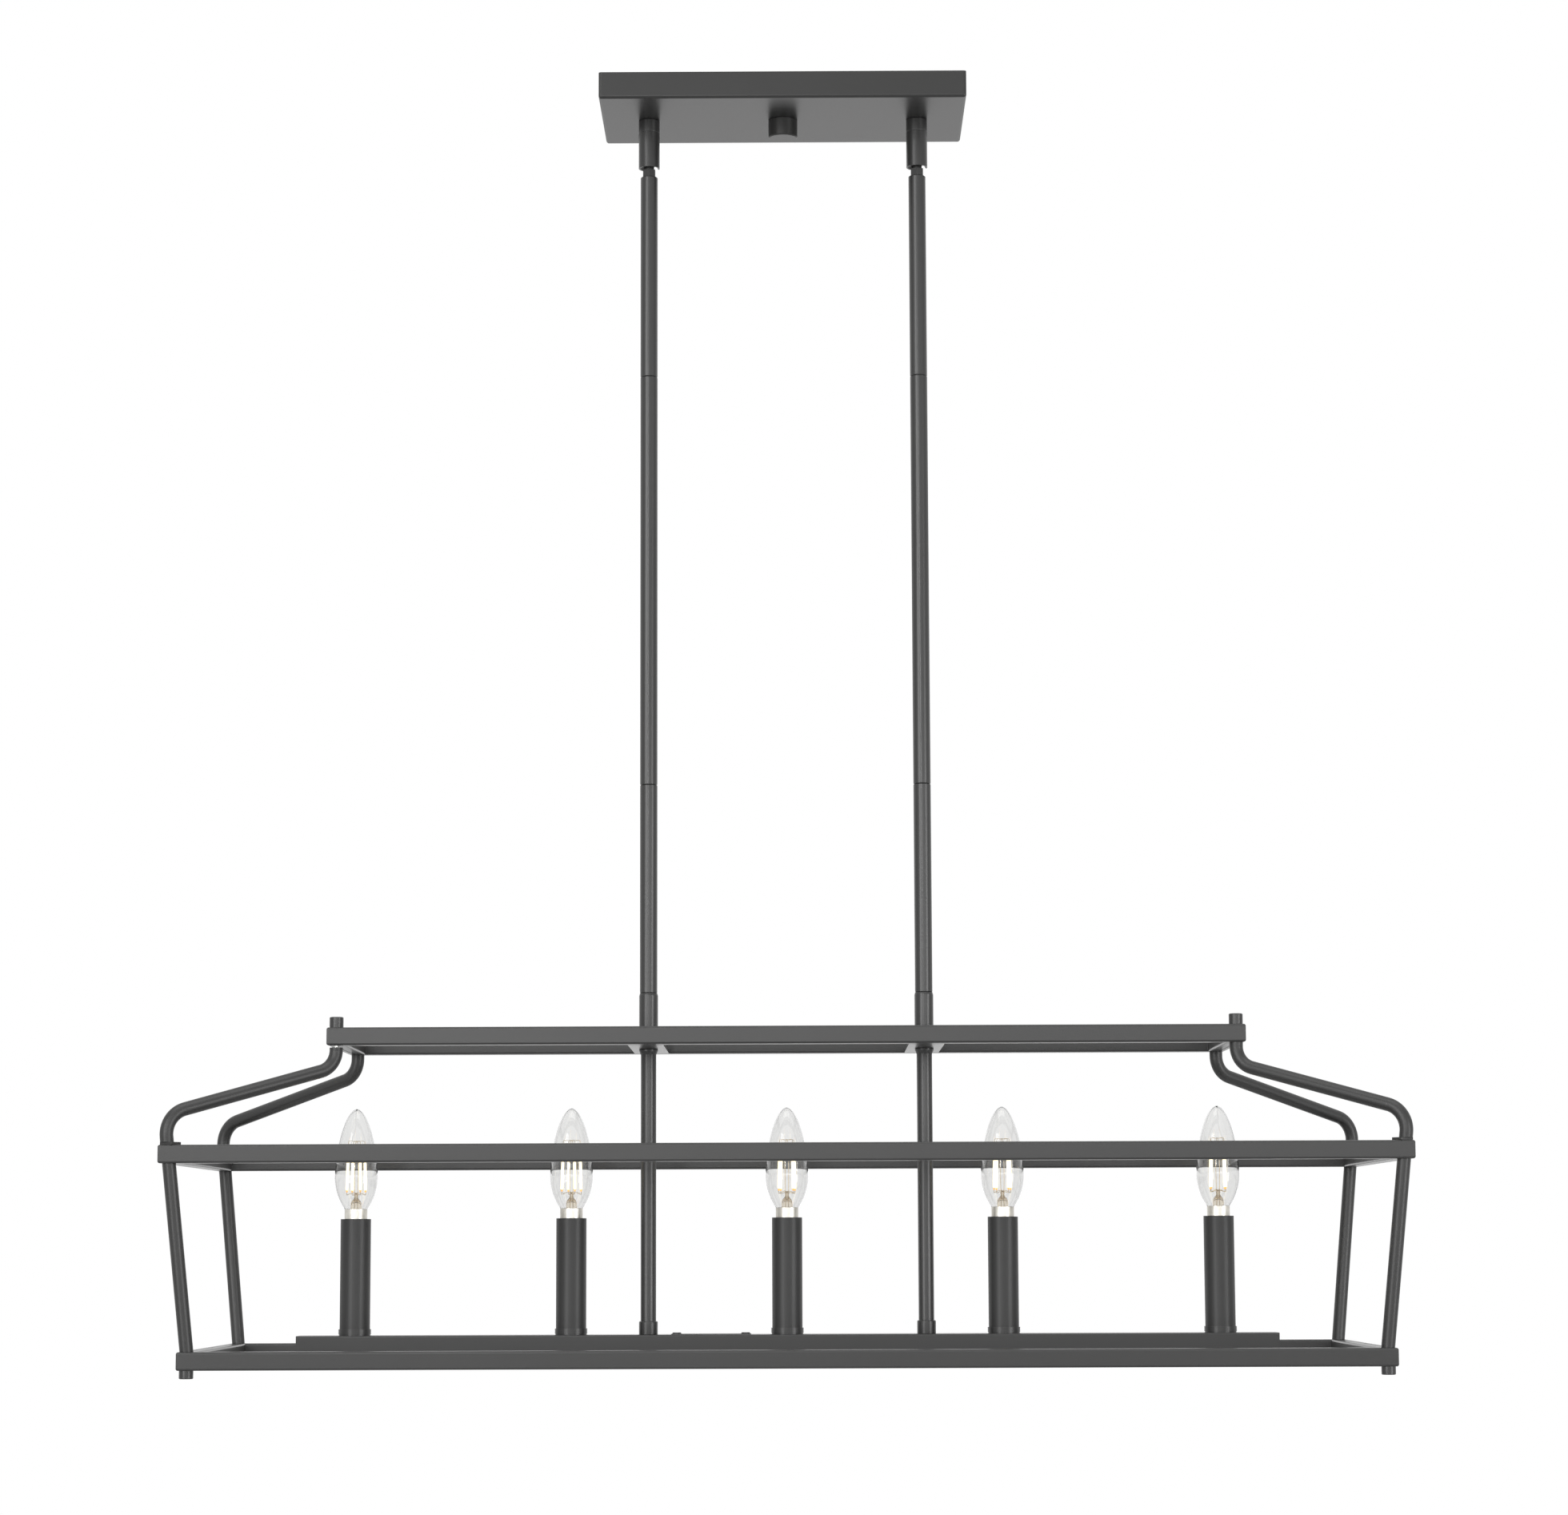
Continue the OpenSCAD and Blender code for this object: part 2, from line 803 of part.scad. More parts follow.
module post(sx, sy) {
    color(black_paint)
        at_corner(sx, sy)
            difference() {
                leg_run(lean_point(middle_under_z + leg_d), lean_point(bottom_z - leg_d));
                translate([middle_reach, middle_under_z + leg_d, 0])
                    cube([4 * leg_d, 2 * leg_d, 4 * leg_d], center = true);
                translate([bottom_reach, bottom_z - leg_d, 0])
                    cube([4 * leg_d, 2 * leg_d, 4 * leg_d], center = true);
                leaning_stud(corner_stud_d + 2 * fit, fit);
                translate([bottom_reach, bottom_z + stud_grip + fit, 0])
                    rotate([90, 0, 0])
                        cylinder(h = stud_grip + over + fit, d = corner_stud_d + 2 * fit);
            }
}

module corner_washers() {
    washer_x = lean_point(arm_foot_z).x - washer_shift;
    color(black_paint)
        for (sx = [-1, 1], sy = [-1, 1])
            at_corner(sx, sy)
                difference() {
                    translate([washer_x, middle_z + washer_t / 2, 0])
                        rotate([0, -sx * sy * (washer_turn + plan_turn), 0])
                            cube([washer_side, washer_t, washer_side], center = true);
                    leaning_stud(corner_stud_d + 2 * fit, fit);
                }
}

module cap_nut(h) {
    difference() {
        rotate_extrude()
            polygon([
                [0, 0], [cap_d / 2, 0], [cap_d / 2, h - cap_chamfer],
                [cap_d / 2 - cap_chamfer, h], [0, h]
            ]);
        translate([0, 0, -over])
            cylinder(h = cap_grip(h) + fit + over, d = corner_stud_d + 2 * fit);
    }
}

module cap_nuts() {
    color(black_paint)
        for (sx = [-1, 1], sy = [-1, 1]) {
            translate([sx * top_x, sy * top_y, top_z])
                cap_nut(top_cap_h);
            translate([sx * corner_x(bottom_frame_l), sy * corner_y(bottom_frame_w), bottom_under_z])
                rotate([180, 0, 0])
                    cap_nut(bottom_cap_h);
        }
}

module frame_stud(x, y, low, high) {
    translate([x, y, low])
        cylinder(h = high - low, d = corner_stud_d);
}

module frame_studs() {
    color(plated_steel)
        for (sx = [-1, 1], sy = [-1, 1]) {
            gap = sx < 0 && sy < 0 ? loose_gap : 0;
            frame_stud(
                sx * top_x, sy * top_y,
                top_under_z - gap - stud_grip, top_z + cap_grip(top_cap_h)
            );
            at_corner(sx, sy)
                leaning_stud(corner_stud_d, 0);
            frame_stud(
                sx * corner_x(bottom_frame_l), sy * corner_y(bottom_frame_w),
                bottom_under_z - cap_grip(bottom_cap_h), bottom_z + stud_grip
            );
        }
}

// Plates and rods between the top frame and the channel

module cross_plates() {
    color(black_paint)
        at_rods()
            translate([0, 0, top_under_z])
                difference() {
                    translate([0, 0, plate_t / 2])
                        cube([plate_w, top_frame_w - 2 * bar, plate_t], center = true);
                    translate([0, 0, -over])
                        cylinder(h = plate_t + 2 * over, d = drop_rod_d + 2 * fit);
                }
}

module bead_rings() {
    bore_r = drop_rod_d / 2 + fit;
    color(black_paint)
        at_rods()
            translate([0, 0, top_under_z])
                rotate_extrude()
                    polygon([
                        [bore_r, 0], [bead_d / 2, 0], [bead_d / 2, -bead_h * bead_flat_share],
                        [bore_r + bead_lip, -bead_h], [bore_r, -bead_h]
                    ]);
}

module drop_rods() {
    rod_end_z = channel_z + coupling_floor_t;
    color(black_paint)
        at_rods()
            translate([0, 0, rod_end_z])
                tube(drop_rod_d, drop_rod_id, collar_step_z - over - rod_end_z);
}

module rod_couplings() {
    spigot_end_z = channel_ceiling_z - nut_t - nipple_proud;
    color(black_paint)
        at_rods()
            difference() {
                union() {
                    translate([0, 0, channel_z])
                        rotate_extrude()
                            polygon([
                                [0, 0], [coupling_d / 2, 0],
                                [coupling_d / 2, coupling_h - stem_chamfer],
                                [coupling_d / 2 - stem_chamfer, coupling_h], [0, coupling_h]
                            ]);
                    translate([0, 0, spigot_end_z])
                        cylinder(h = channel_z - spigot_end_z + over, d = collar_nipple_d);
                }
                translate([0, 0, channel_z + coupling_floor_t])
                    cylinder(h = coupling_h, d = drop_rod_d + 2 * fit);
                translate([0, 0, spigot_end_z - over])
                    cylinder(h = channel_z - spigot_end_z + coupling_h, d = wire_bore_d);
            }
}

// Light channel

module channel_section() {
    difference() {
        union() {
            translate([0, -channel_h / 2])
                square([channel_w - 2 * channel_edge_r, channel_h], center = true);
            translate([0, -(channel_h + channel_edge_r) / 2])
                square([channel_w, channel_h - channel_edge_r], center = true);
            for (s = [-1, 1])
                translate([s * (channel_w / 2 - channel_edge_r), -channel_edge_r])
                    circle(r = channel_edge_r);
        }
        translate([channel_wall - channel_w / 2, -channel_h - over])
            square([channel_w - 2 * channel_wall, channel_h - channel_wall + over]);
    }
}

module light_channel() {
    color(black_paint)
        difference() {
            union() {
                translate([0, 0, channel_z])
                    rotate([90, 0, 90])
                        linear_extrude(channel_l, center = true)
                            channel_section();
                for (s = [-1, 1]) {
                    translate([s * (channel_l - channel_wall) / 2, 0, end_mid_z])
                        cube([
                            channel_wall, channel_w - channel_wall, channel_h - channel_edge_r
                        ], center = true);
                    translate([s * tab_screw_x, 0, tab_z + tab_t / 2])
                        cube([tab_l + over, channel_w / 2, tab_t], center = true);
                }
            }
            for (s = [-1, 1])
                translate([s * tab_screw_x, 0, tab_z - over])
                    cylinder(h = tab_t + 2 * over, d = screw_d + 2 * fit);
            at_rods()
                channel_hole(collar_nipple_d);
            at_candles()
                channel_hole(nipple_d);
            at_splice_screws()
                channel_hole(screw_d);
        }
}

module channel_hole(d) {
    translate([0, 0, channel_ceiling_z - over])
        cylinder(h = channel_wall + 2 * over, d = d + 2 * fit);
}

module at_splice_screws() {
    for (s = [-1, 1])
        translate([splice_x + s * (splice_l / 2 - splice_screw_inset), 0, 0])
            children();
}

module channel_cover() {
    color(black_paint)
        translate([0, 0, channel_under_z])
            difference() {
                translate([0, 0, channel_wall / 2])
                    cube([
                        channel_l - 2 * channel_wall - 2 * cover_play,
                        channel_w - 2 * channel_wall - 2 * cover_play, channel_wall
                    ], center = true);
                for (s = [-1, 1])
                    translate([s * tab_screw_x, 0, -over])
                        cylinder(h = channel_wall + 2 * over, d = screw_d + 2 * fit);
            }
}

module splice_cover() {
    color(black_paint)
        translate([splice_x, 0, channel_z])
            difference() {
                linear_extrude(splice_t)
                    round_rect(splice_l, splice_w, splice_w / 8);
                translate([-splice_x, 0, -over])
                    at_splice_screws()
                        cylinder(h = splice_t + 2 * over, d = screw_d + 2 * fit);
            }
}

module channel_screws() {
    color(black_paint) {
        translate([0, 0, channel_z + splice_t])
            at_splice_screws()
                pan_screw(screw_d, screw_l, screw_head_d, screw_head_h);
        for (s = [-1, 1])
            translate([s * tab_screw_x, 0, channel_under_z])
                rotate([180, 0, 0])
                    pan_screw(screw_d, screw_l, screw_head_d, screw_head_h);
    }
}

module channel_locknuts() {
    color(plated_steel)
        translate([0, 0, channel_ceiling_z - nut_t]) {
            at_rods()
                hex_nut(nut_flats, collar_nipple_d + 2 * fit, nut_t);
            at_candles()
                hex_nut(nut_flats, nipple_d + 2 * fit, nut_t);
        }
}

// A pair of wires up the left rod, along the channel and up into each socket
module channel_wiring() {
    trunk_z = channel_under_z + channel_h / 3;
    reach = -candle_place(1);
    color(wire_colour)
        for (s = [-1, 1]) {
            translate([0, s * wire_offset, trunk_z])
                rotate([0, 90, 0])
                    cylinder(h = 2 * reach + wire_d, d = wire_d, center = true);
            translate([-rod_spacing / 2, s * wire_offset, trunk_z])
                cylinder(h = ball_z - trunk_z, d = wire_d);
            at_candles()
                translate([0, s * wire_offset, trunk_z])
                    cylinder(h = socket_top_z - socket_h - trunk_z, d = wire_d);
        }
}

// Candles

module candle_cups() {
    ring_z = cup_neck_h;
    ring_r = cup_ring_d / 2;
    seat_r = sleeve_d / 2 + fit;
    color(black_paint)
        at_candles()
            translate([0, 0, channel_z])
                difference() {
                    union() {
                        cylinder(h = ring_z + over, r = ring_r - cup_neck_step);
                        translate([0, 0, ring_z])
                            cylinder(h = cup_ring_h, r = ring_r);
                    }
                    translate([0, 0, cup_floor_t])
                        cylinder(h = ring_z + cup_ring_h, r = seat_r);
                    translate([0, 0, -over])
                        cylinder(h = cup_floor_t + 2 * over, d = nipple_d + 2 * fit);
                    for (share = groove_shares)
                        translate([0, 0, ring_z + share * cup_ring_h])
                            difference() {
                                cylinder(h = groove_w, r = ring_r + over);
                                translate([0, 0, -over])
                                    cylinder(h = groove_w + 2 * over, r = ring_r - groove_depth);
                            }
                }
}

module socket_nipples() {
    low = channel_ceiling_z - nut_t - nipple_proud;
    high = cup_floor_z + foot_t + nipple_proud;
    color(plated_steel)
        at_candles()
            translate([0, 0, low])
                tube(nipple_d, wire_bore_d, high - low);
}

module candle_sockets() {
    body_z = socket_top_z - socket_h;
    bore_floor_z = base_floor_z - body_gap;
    color(phenolic)
        at_candles()
            difference() {
                union() {
                    translate([0, 0, body_z])
                        cylinder(h = socket_h, d = socket_d);
                    translate([0, 0, cup_floor_z])
                        cylinder(h = foot_t, d = socket_d);
                    translate([(bracket_t - socket_d) / 2, 0, (cup_floor_z + body_z + socket_floor_t) / 2])
                        cube([bracket_t, bracket_w, body_z + socket_floor_t - cup_floor_z], center = true);
                }
                translate([0, 0, cup_floor_z - over])
                    cylinder(h = foot_t + 2 * over, d = nipple_d + 2 * fit);
                translate([0, 0, bore_floor_z])
                    cylinder(h = socket_top_z - bore_floor_z + over, d = thread_d + 2 * thread_play);
            }
}

module sleeve(i) {
    color(black_paint)
        translate([candle_place(i), 0, sleeve_z])
            tube(sleeve_d, sleeve_id, sleeve_h);
}

// Bulbs

function belly_r(v, inset) =
    bulb_neck_r + (bulb_d / 2 - bulb_neck_r) * (1 - pow(v, belly_power)) - inset;
function crown_r(u, inset) = (bulb_d / 2 - inset) * pow(1 - pow(u, crown_power), crown_root);

// Half of the glass's outline, from its neck over the belly to the tip, drawn in by an inset
function glass_line(inset) = concat(
    [for (k = [0:belly_points - 1])
        let (v = 1 - k / belly_points)
            [belly_r(v, inset), bulb_belly_h * (1 - v)]],
    [for (k = [0:crown_points])
        let (u = sin(90 * k / crown_points))
            [crown_r(u, inset), bulb_belly_h + (bulb_h - inset - bulb_belly_h) * u]]
);

module bulb_glass(i) {
    rim = neck_d / 2;
    color("#f4efe2", 0.35)
        translate([candle_place(i), 0, glass_z])
            rotate_extrude()
                polygon(concat(
                    [[rim - glass_t, -neck_sink], [rim, -neck_sink], [rim, 0]],
                    glass_line(0),
                    [for (k = [len(glass_line(0)) - 1:-1:0]) glass_line(glass_t)[k]],
                    [[rim - glass_t, 0]]
                ));
}

module thread_line(z_top) {
    crests = floor(thread_l / thread_pitch);
    pitch = thread_l / crests;
    rotate_extrude()
        polygon(concat(
            [[0, z_top], [thread_d / 2 - thread_depth, z_top]],
            [for (k = [0:crests - 1], share = thread_shares)
                [thread_d / 2 - share[1] * thread_depth, z_top - (k + share[0]) * pitch]],
            [[0, z_top - thread_l]]
        ));
}

module bulb_base(i) {
    thread_top_z = skirt_z - thread_neck;
    thread_end_z = thread_top_z - thread_l;
    color(nickel)
        translate([candle_place(i), 0, 0]) {
            difference() {
                translate([0, 0, skirt_z])
                    cylinder(h = glass_z - skirt_z, d = skirt_d);
                translate([0, 0, glass_z - neck_sink - body_gap])
                    cylinder(h = neck_sink + body_gap + over, d = skirt_d - 2 * skirt_wall);
            }
            translate([0, 0, thread_top_z])
                cylinder(h = thread_neck, d = thread_d - 2 * thread_depth);
            thread_line(thread_top_z);
            translate([0, 0, thread_end_z - insulator_h])
                cylinder(h = insulator_h, d1 = contact_d, d2 = thread_d - 2 * thread_depth);
            translate([0, 0, thread_end_z - insulator_h - contact_h])
                cylinder(h = contact_h, d = contact_d);
        }
}

// The glass mount, its wires and the upright filaments
module bulb_filament(i) {
    foot_z = glass_z - neck_sink + fit;
    low_z = glass_z + filament_rise;
    high_z = low_z + filament_l;
    color(glow_colour)
        translate([candle_place(i), 0, 0]) {
            translate([0, 0, foot_z])
                cylinder(h = flare_h, d = flare_d);
            translate([0, 0, foot_z])
                cylinder(h = mount_h, d1 = stem_foot_d, d2 = stem_top_d);
            translate([0, 0, foot_z])
                cylinder(h = high_z - foot_z, d = spine_d);
            for (k = [0:filament_count - 1])
                rotate([0, 0, (k + 0.5) * 360 / filament_count]) {
                    link([0, low_z], [filament_ring_low, low_z], lead_d);
                    link([filament_ring_low, low_z], [filament_ring_high, high_z], filament_d);
                    link([0, high_z], [filament_ring_high, high_z], lead_d);
                }
        }
}

// A round rod between two places in the XZ plane
module link(from, to, d) {
    run = to - from;
    translate([from.x, 0, from.y])
        rotate([0, 90 - atan2(run.y, run.x), 0])
            cylinder(h = norm(run), d = d);
}

canopy_shell();
mounting_strap();
canopy_stud();
canopy_nuts();
ground_screw();
swivel_collars();
swivel_cups();
canopy_knob();
swivel_stems();
short_stems();
long_stems();
stem_joiners();
rod_collars();
top_frame();
cross_plates();
bead_rings();
drop_rods();
rod_couplings();
middle_frame();
bottom_frame();
arm(-1, -1, loose_gap);  // arm_front_left
arm(1, -1, 0);  // arm_front_right
arm(-1, 1, 0);  // arm_rear_left
arm(1, 1, 0);  // arm_rear_right
post(-1, -1);  // post_front_left
post(1, -1);  // post_front_right
post(-1, 1);  // post_rear_left
post(1, 1);  // post_rear_right
corner_washers();
cap_nuts();
frame_studs();
light_channel();
channel_cover();
splice_cover();
channel_screws();
channel_locknuts();
channel_wiring();
candle_cups();
socket_nipples();
candle_sockets();
sleeve(1);  // sleeve_1
sleeve(2);  // sleeve_2
sleeve(3);  // sleeve_3
sleeve(4);  // sleeve_4
sleeve(5);  // sleeve_5
bulb_glass(1);  // bulb_glass_1
bulb_glass(2);  // bulb_glass_2
bulb_glass(3);  // bulb_glass_3
bulb_glass(4);  // bulb_glass_4
bulb_glass(5);  // bulb_glass_5
bulb_base(1);  // bulb_base_1
bulb_base(2);  // bulb_base_2
bulb_base(3);  // bulb_base_3
bulb_base(4);  // bulb_base_4
bulb_base(5);  // bulb_base_5
bulb_filament(1);  // bulb_filament_1
bulb_filament(2);  // bulb_filament_2
bulb_filament(3);  // bulb_filament_3
bulb_filament(4);  // bulb_filament_4
bulb_filament(5);  // bulb_filament_5
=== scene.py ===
"""Looks of the linear island pendant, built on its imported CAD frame. Metres, +Z up, ceiling at z = 0."""

import math

import bmesh
import bpy
from mathutils import Matrix, Vector


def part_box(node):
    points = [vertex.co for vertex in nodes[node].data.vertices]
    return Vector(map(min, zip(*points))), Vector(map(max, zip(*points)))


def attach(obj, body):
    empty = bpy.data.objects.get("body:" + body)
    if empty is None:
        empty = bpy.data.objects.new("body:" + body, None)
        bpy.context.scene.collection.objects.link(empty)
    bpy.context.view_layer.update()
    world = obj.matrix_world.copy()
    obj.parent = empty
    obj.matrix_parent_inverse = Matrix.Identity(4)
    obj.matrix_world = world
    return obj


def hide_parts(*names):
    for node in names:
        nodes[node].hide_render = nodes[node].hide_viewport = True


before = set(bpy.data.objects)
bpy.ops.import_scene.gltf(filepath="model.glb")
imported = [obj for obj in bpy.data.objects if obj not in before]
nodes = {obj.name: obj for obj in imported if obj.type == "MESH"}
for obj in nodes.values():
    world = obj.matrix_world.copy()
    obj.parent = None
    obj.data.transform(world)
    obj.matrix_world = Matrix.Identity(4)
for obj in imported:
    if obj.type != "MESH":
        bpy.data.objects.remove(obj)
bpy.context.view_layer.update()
scene = bpy.context.scene
MM = 0.001


# Camera, fitted to the photograph: place in metres, turns in degrees

SENSOR_WIDTH = 36.0
LENS = 88.18
EYE = (0.00988, -2.791, -0.85881)
YAW, PITCH, ROLL = 0.222, 97.319, -0.218
CLIP_NEAR, CLIP_FAR = 0.05, 60.0

cam_data = bpy.data.cameras.new("camera")
cam_data.sensor_fit = "HORIZONTAL"
cam_data.sensor_width = SENSOR_WIDTH
cam_data.lens = LENS
cam_data.clip_start = CLIP_NEAR
cam_data.clip_end = CLIP_FAR
camera = bpy.data.objects.new("camera", cam_data)
scene.collection.objects.link(camera)
camera.matrix_world = (
    Matrix.Translation(EYE)
    @ Matrix.Rotation(math.radians(YAW), 4, "Z")
    @ Matrix.Rotation(math.radians(PITCH), 4, "X")
    @ Matrix.Rotation(math.radians(ROLL), 4, "Z")
)
scene.camera = camera
scene.view_settings.view_transform = "Standard"


# Material helpers

# The part of a noise's range that is stretched to the full change
NOISE_LOW, NOISE_HIGH = 0.3, 0.7


class Tree:
    """A material's node tree, with short calls for the nodes used here."""

    def __init__(self, name):
        self.mat = bpy.data.materials.new(name)
        self.mat.use_nodes = True
        self.nt = self.mat.node_tree
        self.nt.nodes.clear()
        self.out = self.nt.nodes.new("ShaderNodeOutputMaterial")

    def node(self, kind, values=None, **props):
        n = self.nt.nodes.new(kind)
        for k, v in props.items():
            setattr(n, k, v)
        for k, v in (values or {}).items():
            n.inputs[k].default_value = v
        return n

    def link(self, a, b):
        self.nt.links.new(a, b)

    def coords(self, scale=(1, 1, 1), offset=(0, 0, 0)):
        tex = self.node("ShaderNodeTexCoord")
        mapping = self.node("ShaderNodeMapping", {"Scale": scale, "Location": offset})
        self.link(tex.outputs["Object"], mapping.inputs["Vector"])
        return mapping.outputs["Vector"]

    def noise(self, vector, scale, detail=3.0, roughness=0.5):
        n = self.node("ShaderNodeTexNoise", {"Scale": scale, "Detail": detail, "Roughness": roughness})
        self.link(vector, n.inputs["Vector"])
        return n.outputs["Fac"]

    def ramp(self, fac, low, high):
        r = self.node("ShaderNodeMapRange", {
            "From Min": NOISE_LOW, "From Max": NOISE_HIGH, "To Min": low, "To Max": high,
        })
        self.link(fac, r.inputs["Value"])
        return r.outputs["Result"]

    def mix(self, fac, a, b):
        m = self.node("ShaderNodeMix", data_type="RGBA")
        m.inputs["A"].default_value = (*a, 1)
        m.inputs["B"].default_value = (*b, 1)
        self.link(fac, m.inputs["Factor"])
        return m.outputs["Result"]

    def bump(self, height, strength, distance, normal=None):
        b = self.node("ShaderNodeBump", {"Strength": strength, "Distance": distance})
        self.link(height, b.inputs["Height"])
        if normal is not None:
            self.link(normal, b.inputs["Normal"])
        return b.outputs["Normal"]

    def principled(self, values):
        p = self.node("ShaderNodeBsdfPrincipled", values)
        self.link(p.outputs["BSDF"], self.out.inputs["Surface"])
        return p


def paint(name, tone, rough=0.36, seed=0.0, coat=0.15, coat_rough=0.16, ior=1.44):
    """Satin black powder coat: faint mottling, orange peel and fine grain."""
    t = Tree(name)
    v = t.coords(offset=(seed, seed * 0.7, -seed))
    cloud = t.noise(v, 9.0, 4.0, 0.55)
    peel = t.noise(v, 620.0, 2.0)
    grain = t.noise(v, 2600.0, 1.0)
    p = t.principled({"Coat Weight": coat, "Coat Roughness": coat_rough, "Coat IOR": 1.5, "IOR": ior})
    dark = tuple(c * 0.93 for c in tone)
    light = tuple(min(1.0, c * 1.08) for c in tone)
    t.link(t.mix(t.ramp(cloud, 0, 1), dark, light), p.inputs["Base Color"])
    t.link(t.ramp(grain, rough - 0.03, rough + 0.04), p.inputs["Roughness"])
    peel_n = t.bump(peel, 0.05, 0.00012)
    t.link(t.bump(grain, 0.03, 0.00004, peel_n), p.inputs["Normal"])
    return t.mat


def plated(name, tone, rough, seed):
    """Zinc-plated steel: grey metal with cloudy passivation and drawn streaks."""
    t = Tree(name)
    v = t.coords(offset=(seed, seed, seed))
    cloud = t.noise(v, 45.0, 5.0, 0.6)
    streak = t.noise(t.coords(scale=(1, 1, 14), offset=(seed, 0, 0)), 420.0, 2.0)
    p = t.principled({"Metallic": 1.0})
    t.link(t.mix(t.ramp(cloud, 0, 1), tuple(c * 0.85 for c in tone), tone), p.inputs["Base Color"])
    t.link(t.ramp(streak, rough - 0.06, rough + 0.08), p.inputs["Roughness"])
    t.link(t.bump(streak, 0.06, 0.00005), p.inputs["Normal"])
    return t.mat


def nickel(name):
    """Thin nickel shell of the bulb's cap, with faint pressed marks round it."""
    t = Tree(name)
    v = t.coords()
    p = t.principled({"Metallic": 0.85, "IOR": 1.7})
    cloud = t.noise(v, 120.0, 3.0)
    dents = t.node("ShaderNodeTexVoronoi", {"Scale": 420.0}, feature="SMOOTH_F1")
    t.link(v, dents.inputs["Vector"])
    t.link(t.mix(t.ramp(cloud, 0, 1), (0.52, 0.50, 0.45), (0.74, 0.72, 0.66)), p.inputs["Base Color"])
    t.link(t.ramp(cloud, 0.3, 0.42), p.inputs["Roughness"])
    t.link(t.bump(dents.outputs["Distance"], 0.2, 0.00025), p.inputs["Normal"])
    return t.mat


def plastic(name, tone, rough, seed, ripple=900.0):
    """Moulded or extruded plastic with a fine surface ripple."""
    t = Tree(name)
    v = t.coords(offset=(seed, 0, seed))
    cloud = t.noise(v, 60.0, 3.0)
    fine = t.noise(v, ripple, 2.0)
    p = t.principled({"IOR": 1.48})
    t.link(t.mix(t.ramp(cloud, 0, 1), tuple(c * 0.92 for c in tone), tone), p.inputs["Base Color"])
    t.link(t.ramp(fine, rough - 0.05, rough + 0.07), p.inputs["Roughness"])
    t.link(t.bump(fine, 0.08, 0.00006), p.inputs["Normal"])
    return t.mat


def clear_glass(name, tint, smoke=(0.8, 0.8, 0.8), density=620.0, ior=1.46):
    """Clear glass, a little smoky, and darker where one looks along its wall."""
    t = Tree(name)
    t.principled({"Base Color": (*tint, 1), "Transmission Weight": 1.0, "IOR": ior, "Roughness": 0.0})
    haze = t.node("ShaderNodeVolumeAbsorption", {"Color": (*smoke, 1), "Density": density})
    t.link(haze.outputs["Volume"], t.out.inputs["Volume"])
    return t.mat


def glowing(name, core, edge, strength):
    """Phosphor of a lit filament, warmer where the coating thins."""
    t = Tree(name)
    v = t.coords()
    speck = t.noise(v, 1400.0, 2.0)
    p = t.principled({"Roughness": 0.6, "Emission Strength": strength})
    colour = t.mix(t.ramp(speck, 0, 1), edge, core)
    t.link(colour, p.inputs["Base Color"])
    t.link(colour, p.inputs["Emission Color"])
    return t.mat


BLACK = (0.022, 0.022, 0.0216)
MATS = {
    "canopy": paint("paint_canopy", BLACK, 0.36, 0.0, 0.08, 0.26, 1.38),
    "swivel": paint("paint_swivel", BLACK, 0.36, 1.3),
    "rod_a": paint("paint_rod_a", BLACK, 0.34, 2.1, 0.25),
    "rod_b": paint("paint_rod_b", BLACK, 0.34, 3.7, 0.25),
    "frame_top": paint("paint_frame_top", BLACK, 0.36, 4.9),
    "frame_middle": paint("paint_frame_middle", BLACK, 0.36, 5.4),
    "frame_bottom": paint("paint_frame_bottom", BLACK, 0.36, 6.2),
    "leg": paint("paint_leg", BLACK, 0.42, 7.5, 0.08, 0.3),
    "post": paint("paint_post", BLACK, 0.4, 8.1, 0.1, 0.24),
    "channel": paint("paint_channel", BLACK, 0.36, 9.3),
    "sleeve": paint("paint_sleeve", (0.018, 0.018, 0.0177), 0.44, 10.7, 0.06),
    "small": paint("paint_small", BLACK, 0.34, 11.9),
    "steel": plated("zinc_plate", (0.56, 0.56, 0.54), 0.3, 0.4),
    "green": plastic("green_coat", (0.03, 0.22, 0.07), 0.35, 2.0),
    "wire": plastic("wire_insulation", (0.82, 0.81, 0.77), 0.4, 1.0, 1500.0),
    "socket": plastic("socket_moulding", (0.74, 0.70, 0.60), 0.5, 3.0),
    "nickel": nickel("bulb_nickel"),
    "glass": clear_glass("bulb_glass", (0.975, 0.975, 0.97)),
    "mount_glass": clear_glass("mount_glass", (0.98, 0.965, 0.93), (0.75, 0.66, 0.52), 400.0, 1.2),
    "lead": plated("lead_wire", (0.80, 0.70, 0.54), 0.35, 5.0),
    "filament": glowing("filament_glow", (1.0, 0.92, 0.70), (1.0, 0.84, 0.50), 1.7),
    "filament_end": glowing("filament_end_glow", (1.0, 0.55, 0.18), (0.9, 0.38, 0.08), 1.0),
}

# CAD nodes: finish, welded seams, small edge rounding

